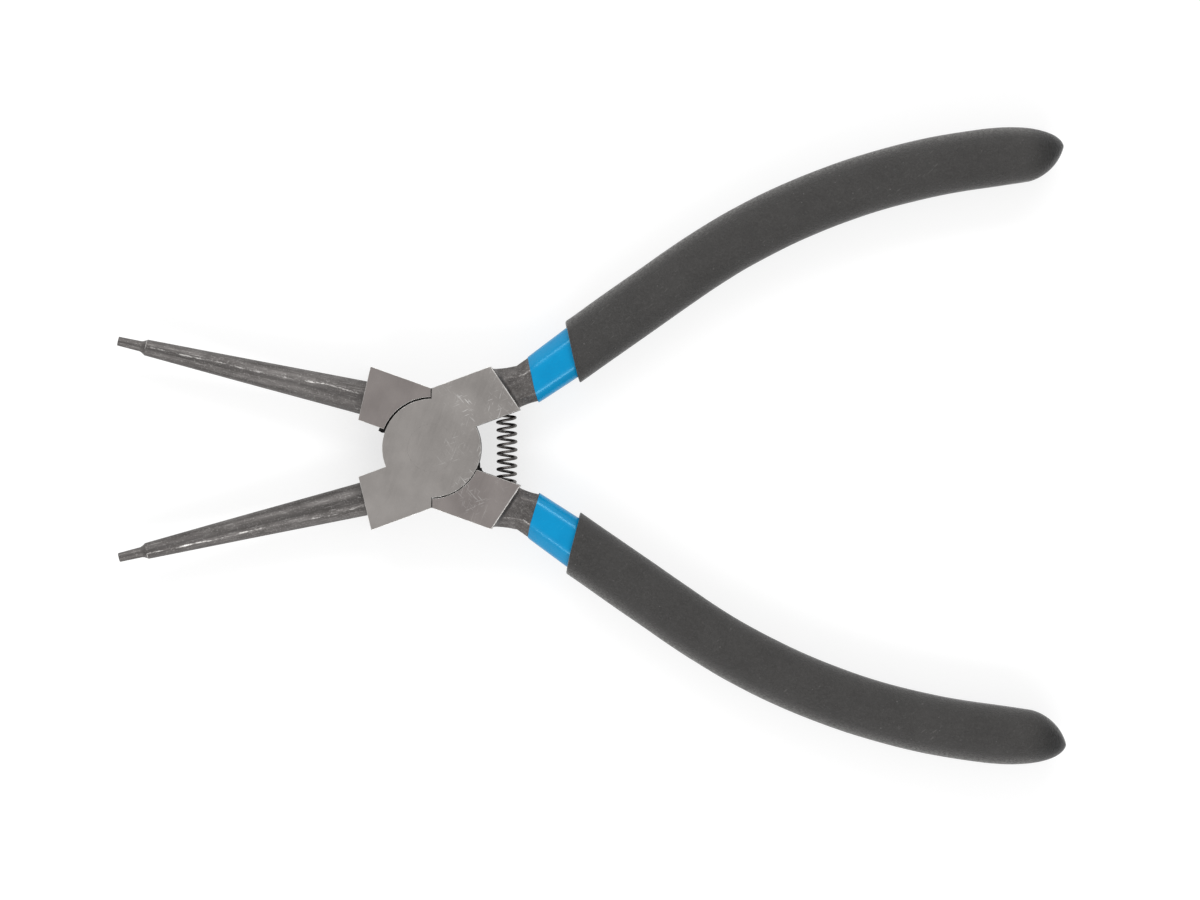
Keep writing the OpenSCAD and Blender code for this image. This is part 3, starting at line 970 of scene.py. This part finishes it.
def dip_mouth(loop, start, slant, wave):
    """Lays a loop where the bath's surface stood, aslant over the handle, with a slow wave."""
    for v in verts_of(loop):
        around = math.atan2(v.co.z, v.co.y)
        v.co.x = start + slant * v.co.y + wave * math.sin(MOUTH_WAVES * around + WAVE_TURN)


def dipped(mouth, outer, inner, end_outer, end_inner, rim_round, sag, crown=0.0, thin=1.0):
    """One dipped layer: the outer skin, the wall against the layer below, and the rim that joins them.
    The outer skin is crowned, starts as thin as a share of its full size, and sags."""
    bm = bmesh.new()
    start, slant, wave = mouth

    outer_mouth = bar_loop(bm, Matrix(), *outer)
    dip_mouth(outer_mouth, start, slant, wave)
    for v in verts_of(outer_mouth):
        v.co.z *= 1 - crown * (2 * (v.co.y + CROWN_SHIFT) / outer[0]) ** 2
    down_the_handle(bm, outer_mouth, end_outer, SKIN_STRAIGHT_STEPS, SKIN_BOW_STEPS)
    for v in bm.verts:
        in_run = min(max((v.co.x - start - slant * v.co.y) / THIN_LEN, 0), 1)
        v.co.yz *= thin + (1 - thin) * in_run
    bmesh.ops.recalc_face_normals(bm, faces=bm.faces)
    bm.normal_update()
    for v in bm.verts:
        drift = noise.noise(v.co * LONG_SAG) + SHORT_SHARE * noise.noise(v.co * SHORT_SAG + SHORT_SEED)
        v.co += v.normal * sag * drift

    inner_mouth = bar_loop(bm, Matrix(), *inner)
    dip_mouth(inner_mouth, start, slant, wave)
    down_the_handle(bm, inner_mouth, end_inner, SKIN_STRAIGHT_STEPS, SKIN_BOW_STEPS)

    bmesh.ops.bridge_loops(bm, edges=outer_mouth + inner_mouth)
    bmesh.ops.recalc_face_normals(bm, faces=bm.faces)
    bmesh.ops.bevel(
        bm, geom=outer_mouth, offset=rim_round, offset_type="OFFSET", segments=MOUTH_STEPS, profile=0.5,
        affect="EDGES", clamp_overlap=False, material=-1,
    )
    for face in bm.faces:
        face.smooth = True
    bmesh.ops.transform(bm, matrix=ALONG, verts=bm.verts)
    return bm


def sleeve_finish():
    """Glossy dipped vinyl: even colour, slightly cloudy, with a soft orange peel."""
    deep = (0.0, 0.252, 0.527, 1)
    clear = (0.0, 0.281, 0.571, 1)
    scuffed = (0.03, 0.34, 0.62, 1)
    f = Finish("blue_dip", {"Metallic": 0.0, "IOR": 1.58, "Specular Tint": (0.45, 0.86, 1.0, 1)})
    clouds = f.cloud(0.35, detail=3)
    peel = f.cloud(0.9)
    scuffs = f.level(f.cloud((0.7, 3.2, 3.2), detail=3, rough=0.6, turn=0.6), 0.64, 0.76, 0, 0.3)
    colour = f.tint(f.level(clouds, 0.3, 0.7), deep, clear)
    colour = f.tint(scuffs, colour, scuffed)
    dull = f.sums("ADD", f.level(clouds, 0.3, 0.7, 0.2, 0.26), f.level(scuffs, 0, 1, 0, 0.25))
    f.wire(Base_Color=colour, Roughness=dull, Normal=f.relief(peel, 0.025))
    return f.made


def dress_handles(bm, name, material, node):
    """Puts a layer on both handles."""
    for side, body in ((1, "front"), (-1, "back")):
        placed = bm.copy()
        bmesh.ops.transform(placed, matrix=in_place(side), verts=placed.verts)
        layer = make_piece(placed, body + name)
        layer.data.set_sharp_from_angle(angle=LAYER_SHARP)
        layer.data.materials.append(material)
        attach(layer, body + "_body")
        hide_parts(body + node)
    bm.free()


def cut_bar(wall):
    """The tang's outline with its flat corner cuts, under a wall that follows them."""
    grown = FLAT_GROWTH * wall
    return (
        TANG_W + 2 * wall, TANG_T + 2 * wall,
        TANG_CUT_OUT + grown, TANG_CUT_IN + grown, FLAT_CUT, TANG_SOFT + wall,
    )


sleeve_bm = dipped(
    (SLEEVE_START, SLEEVE_SLANT, SLEEVE_WAVE), cut_bar(SLEEVE_WALL), cut_bar(LAYER_GAP),
    round_end(SLEEVE_END), round_end(TANG_END + LAYER_GAP), SLEEVE_RIM, SLEEVE_SAG,
    thin=(TANG_W + 2 * MOUTH_WALL) / (TANG_W + 2 * SLEEVE_WALL),
)
dress_handles(sleeve_bm, "_sleeve_dip", sleeve_finish(), "_sleeve")

# Grips
# The second dip: a thicker matt grey skin that rounds the handle off and ends in a blunt pointed nose. It is
# filled plastic, finely grained and dusted with pale specks; a highlight is painted lighter along its sides,
# and shade is painted dark on the nose, which is also smoother.

GRIP_START = 9.4
GRIP_SLANT = 0.395
GRIP_WAVE = 0.1
GRIP_WALL = 1.0
GRIP_RIM = 0.2
GRIP_SAG = 0.05
GRIP_CROWN = 0.12
GRIP_W = TANG_W + 2 * (SLEEVE_WALL + GRIP_WALL)
ROUND_GROWTH = 1.2
ROUND_STEPS = 9
NOSE_REACH = 16.55
NOSE_OUT_LEN = 14.5
NOSE_OUT_POINT = 0.5
NOSE_IN_LEN = 7.3
NOSE_IN_POINT = 0.75
NOSE_IN_FALL = 0.05
NOSE_HIGH_LEN = 9.0
NOSE_HIGH_POINT = 0.55
NOSE_STEPS = 30
# How far back from the nose's point the painted shade reaches, and the share of that reach where it is full
NOSE_SHADE_LEN = 7.6
NOSE_SHADE_FULL = 0.9
# How far the sides lean where the painted highlight starts and where it is full, and how much of it the inner
# side gets
RIM_HIGHLIGHT_LEAN = (0.2, 0.75)
INNER_RIM_HIGHLIGHT = 0.15


def bullet_nose():
    """Stages of the grip's end: its outer side falls away early, its inner side late, to a blunt point."""
    def left(reach, length, point):
        share = max((reach - NOSE_REACH) / length + 1, 0)
        return max(1 - share * share, 0) ** point

    stages = []
    for i in range(1, NOSE_STEPS + 1):
        reach = NOSE_REACH * math.sin(math.pi / 2 * i / NOSE_STEPS)
        out = left(reach, NOSE_OUT_LEN, NOSE_OUT_POINT)
        back = left(reach, NOSE_IN_LEN, NOSE_IN_POINT) - NOSE_IN_FALL * (1 - out)
        high = left(reach, NOSE_HIGH_LEN, NOSE_HIGH_POINT)
        stages.append((reach, (out + back) / 2, high, GRIP_W / 4 * (out - back)))
    return stages


def rounded_bar(wall):
    """The tang's outline under a wall that rounds its corners off."""
    grown = ROUND_GROWTH * wall
    return (TANG_W + 2 * wall, TANG_T + 2 * wall, TANG_CUT_OUT + grown, TANG_CUT_IN + grown, ROUND_STEPS)


def grip_finish():
    """Matt filled plastic, with a highlight painted lighter on the sides, and shade painted dark on the nose,
    which is also smoother.
    """
    dark = (0.0285, 0.0268, 0.0255, 1)
    pale = (0.040, 0.0380, 0.0364, 1)
    grained = (0.072, 0.069, 0.066, 1)
    dusty = (0.28, 0.275, 0.265, 1)
    rubbed_and_highlight = (0.25, 0.244, 0.235, 1)
    scuffed = (0.15, 0.146, 0.14, 1)
    painted_nose_shade = (0.005, 0.0048, 0.0047, 1)
    f = Finish("grey_dip", {"Metallic": 0.0, "IOR": 1.42, "Sheen Weight": 0.15, "Sheen Roughness": 0.3})
    clouds = f.cloud(0.12, detail=4, rough=0.55)
    grain = f.cloud(2.6, detail=3, rough=0.65)
    fine = f.cloud(7.0, rough=0.6)
    dots = f.level(f.specks(0.9), 0.05, 0.11, 1.0, 0.0)
    dust = f.sums("MULTIPLY", dots, f.level(f.cloud(0.3, shift=5.0), 0.5, 0.62))
    colour = f.tint(f.level(clouds, 0.3, 0.7), dark, pale)
    colour = f.tint(f.level(grain, 0.45, 0.75, 0, 0.4), colour, grained)
    colour = f.tint(f.level(dust, 0, 1, 0, 0.5), colour, dusty)
    # Painted highlight: the sides are made lighter where they lean, broken up in patches
    highlight_breakup = f.level(f.cloud(2.2, detail=4, rough=0.8, shift=8.0), 0.42, 0.62, 0.15, 1.0)
    colour = f.tint(f.sums("MULTIPLY", f.mark("rim_highlight"), highlight_breakup), colour, rubbed_and_highlight)
    scuffs = f.level(f.cloud((0.55, 3.0, 3.0), turn=0.7, shift=3.0), 0.66, 0.74, 0, 0.4)
    colour = f.tint(f.sums("MULTIPLY", scuffs, f.level(clouds, 0.42, 0.6)), colour, scuffed)
    # Painted shade: the nose is darkened towards its point, and made smoother
    nose_shade_mask = f.mark("nose_shade")
    colour = f.tint(nose_shade_mask, colour, painted_nose_shade)
    dull = f.sums("SUBTRACT", f.level(clouds, 0.3, 0.7, 0.36, 0.44), f.level(nose_shade_mask, 0, 1, 0, 0.18))
    height = f.sums("ADD", f.level(grain, 0.3, 0.7, 0, 1.0), f.level(fine, 0.3, 0.7, 0, 0.5))
    f.wire(Base_Color=colour, Roughness=dull, Normal=f.relief(height, 0.08))
    return f.made


def mark_grip(bm):
    """Marks the nose, where shade is painted dark and the dip is smoother, and the sides, where a highlight
    is painted lighter.
    """
    nose_shade = bm.verts.layers.float.new("nose_shade")
    rim_highlight = bm.verts.layers.float.new("rim_highlight")
    to_tail = (ALONG @ TAIL).inverted()
    bm.normal_update()
    for v in bm.verts:
        # Painted shade rises towards the nose's point; a painted highlight lightens the sides, less on the
        # inner side and none on the nose
        toward_nose = max(1 - (NOSE_REACH - (to_tail @ v.co).x) / NOSE_SHADE_LEN, 0)
        share = min(toward_nose / NOSE_SHADE_FULL, 1)
        v[nose_shade] = share * share * (3 - 2 * share)
        lean = 1 - abs(v.normal.z)
        share = (lean - RIM_HIGHLIGHT_LEAN[0]) / (RIM_HIGHLIGHT_LEAN[1] - RIM_HIGHLIGHT_LEAN[0])
        v[rim_highlight] = min(max(share, 0), 1) * (1 - v[nose_shade]) * (1 if v.normal.y > 0 else INNER_RIM_HIGHLIGHT)


grip_bm = dipped(
    (GRIP_START, GRIP_SLANT, GRIP_WAVE), rounded_bar(SLEEVE_WALL + GRIP_WALL),
    rounded_bar(SLEEVE_WALL + LAYER_GAP), bullet_nose(), round_end(SLEEVE_END + LAYER_GAP),
    GRIP_RIM, GRIP_SAG, GRIP_CROWN,
)
mark_grip(grip_bm)
dress_handles(grip_bm, "_grip_dip", grip_finish(), "_grip")

# Floor, light and camera
# A plain white table under a pale dome that is greyer overhead, at the ends and in one far corner, two long
# strip lights at the sides, and a long lens straight above, as in the photograph.

WHITE = (1, 1, 1, 1)
TABLE_HALF = 4.0
TABLE_GREY = (0.35, 0.35, 0.35, 1)
TABLE_GLOW = 0.71


def white_table():
    """The floor, which is white to the eye and in reflections, and keeps the shadow."""
    bm = bmesh.new()
    bmesh.ops.create_grid(bm, x_segments=1, y_segments=1, size=TABLE_HALF)
    table = make_piece(bm, "table")
    f = Finish("white_table", {
        "Base Color": TABLE_GREY, "Roughness": 1.0, "Specular IOR Level": 0.0, "Emission Color": WHITE,
    })
    rays = f.add("ShaderNodeLightPath", {})
    seen = f.sums("MAXIMUM", rays.outputs["Is Camera Ray"], rays.outputs["Is Glossy Ray"])
    seen = f.sums("MAXIMUM", seen, rays.outputs["Is Transmission Ray"])
    f.wire(Emission_Strength=f.level(seen, 0, 1, 0, TABLE_GLOW))
    table.data.materials.append(f.made)


END_SHADE = 0.52
OVERHEAD_SHADE = 0.64
CORNER_SHADE = 0.75
DARK_CORNER = Vector((0.83, -0.55, 0.1))


def pale_dome():
    """White round the horizon and over both sides, darker at the ends, overhead and in one far corner."""
    world = bpy.data.worlds.new("pale_dome")
    world.use_nodes = True
    bpy.context.scene.world = world
    dome = Wiring(world.node_tree)
    way = dome.add("ShaderNodeTexCoord", {}).outputs["Generated"]
    parts = dome.add("ShaderNodeSeparateXYZ", {0: way}).outputs
    ends = dome.level(dome.sums("MULTIPLY", parts["X"], parts["X"]), 0.08, 0.5, 0, END_SHADE)
    ends = dome.sums("MULTIPLY", ends, dome.level(parts["Z"], 0.05, 0.3))
    overhead = dome.level(parts["Z"], 0.7, 0.97, 0, OVERHEAD_SHADE)
    faced = dome.add("ShaderNodeVectorMath", {0: way, 1: DARK_CORNER}, operation="DOT_PRODUCT")
    corner = dome.level(faced.outputs["Value"], 0.74, 0.92, 0, CORNER_SHADE)
    shade = dome.sums("MAXIMUM", corner, dome.sums("MAXIMUM", ends, overhead))
    background = world.node_tree.nodes["Background"]
    background.inputs["Color"].default_value = WHITE
    world.node_tree.links.new(dome.sums("SUBTRACT", 1.0, shade), background.inputs["Strength"])


VIEW_MID = Vector((0.02953, -0.00046, 0.0052))
STRIP_LEN = 0.9
STRIP_WIDE = 0.2
STRIP_POWER = 2.5
STRIP_OUT = 0.55
STRIP_UP = 0.5


def strip_light(name, y):
    """A long strip beside the object, turned to it."""
    light = bpy.data.lights.new(name, "AREA")
    light.shape = "RECTANGLE"
    light.size = STRIP_LEN
    light.size_y = STRIP_WIDE
    light.energy = STRIP_POWER
    box = bpy.data.objects.new(name, light)
    box.location = (VIEW_MID.x, y, STRIP_UP)
    box.rotation_euler = (VIEW_MID - box.location).to_track_quat("-Z", "Y").to_euler()
    box.visible_camera = False
    bpy.context.scene.collection.objects.link(box)


white_table()
pale_dome()
strip_light("far_strip", STRIP_OUT)
strip_light("near_strip", -STRIP_OUT)

VIEW_WIDTH = 0.2112
VIEW_TURN = math.radians(-0.23)
LENS = 200.0
SENSOR = 36.0
FAR_CLIP = 10
lens = bpy.data.cameras.new("camera")
lens.lens = LENS
lens.sensor_width = SENSOR
lens.clip_end = FAR_CLIP
camera = bpy.data.objects.new("camera", lens)
camera.location = VIEW_MID + Vector((0, 0, VIEW_WIDTH * LENS / SENSOR))
camera.rotation_euler = (0, 0, VIEW_TURN)
bpy.context.scene.collection.objects.link(camera)
bpy.context.scene.camera = camera
bpy.context.scene.view_settings.view_transform = "Standard"
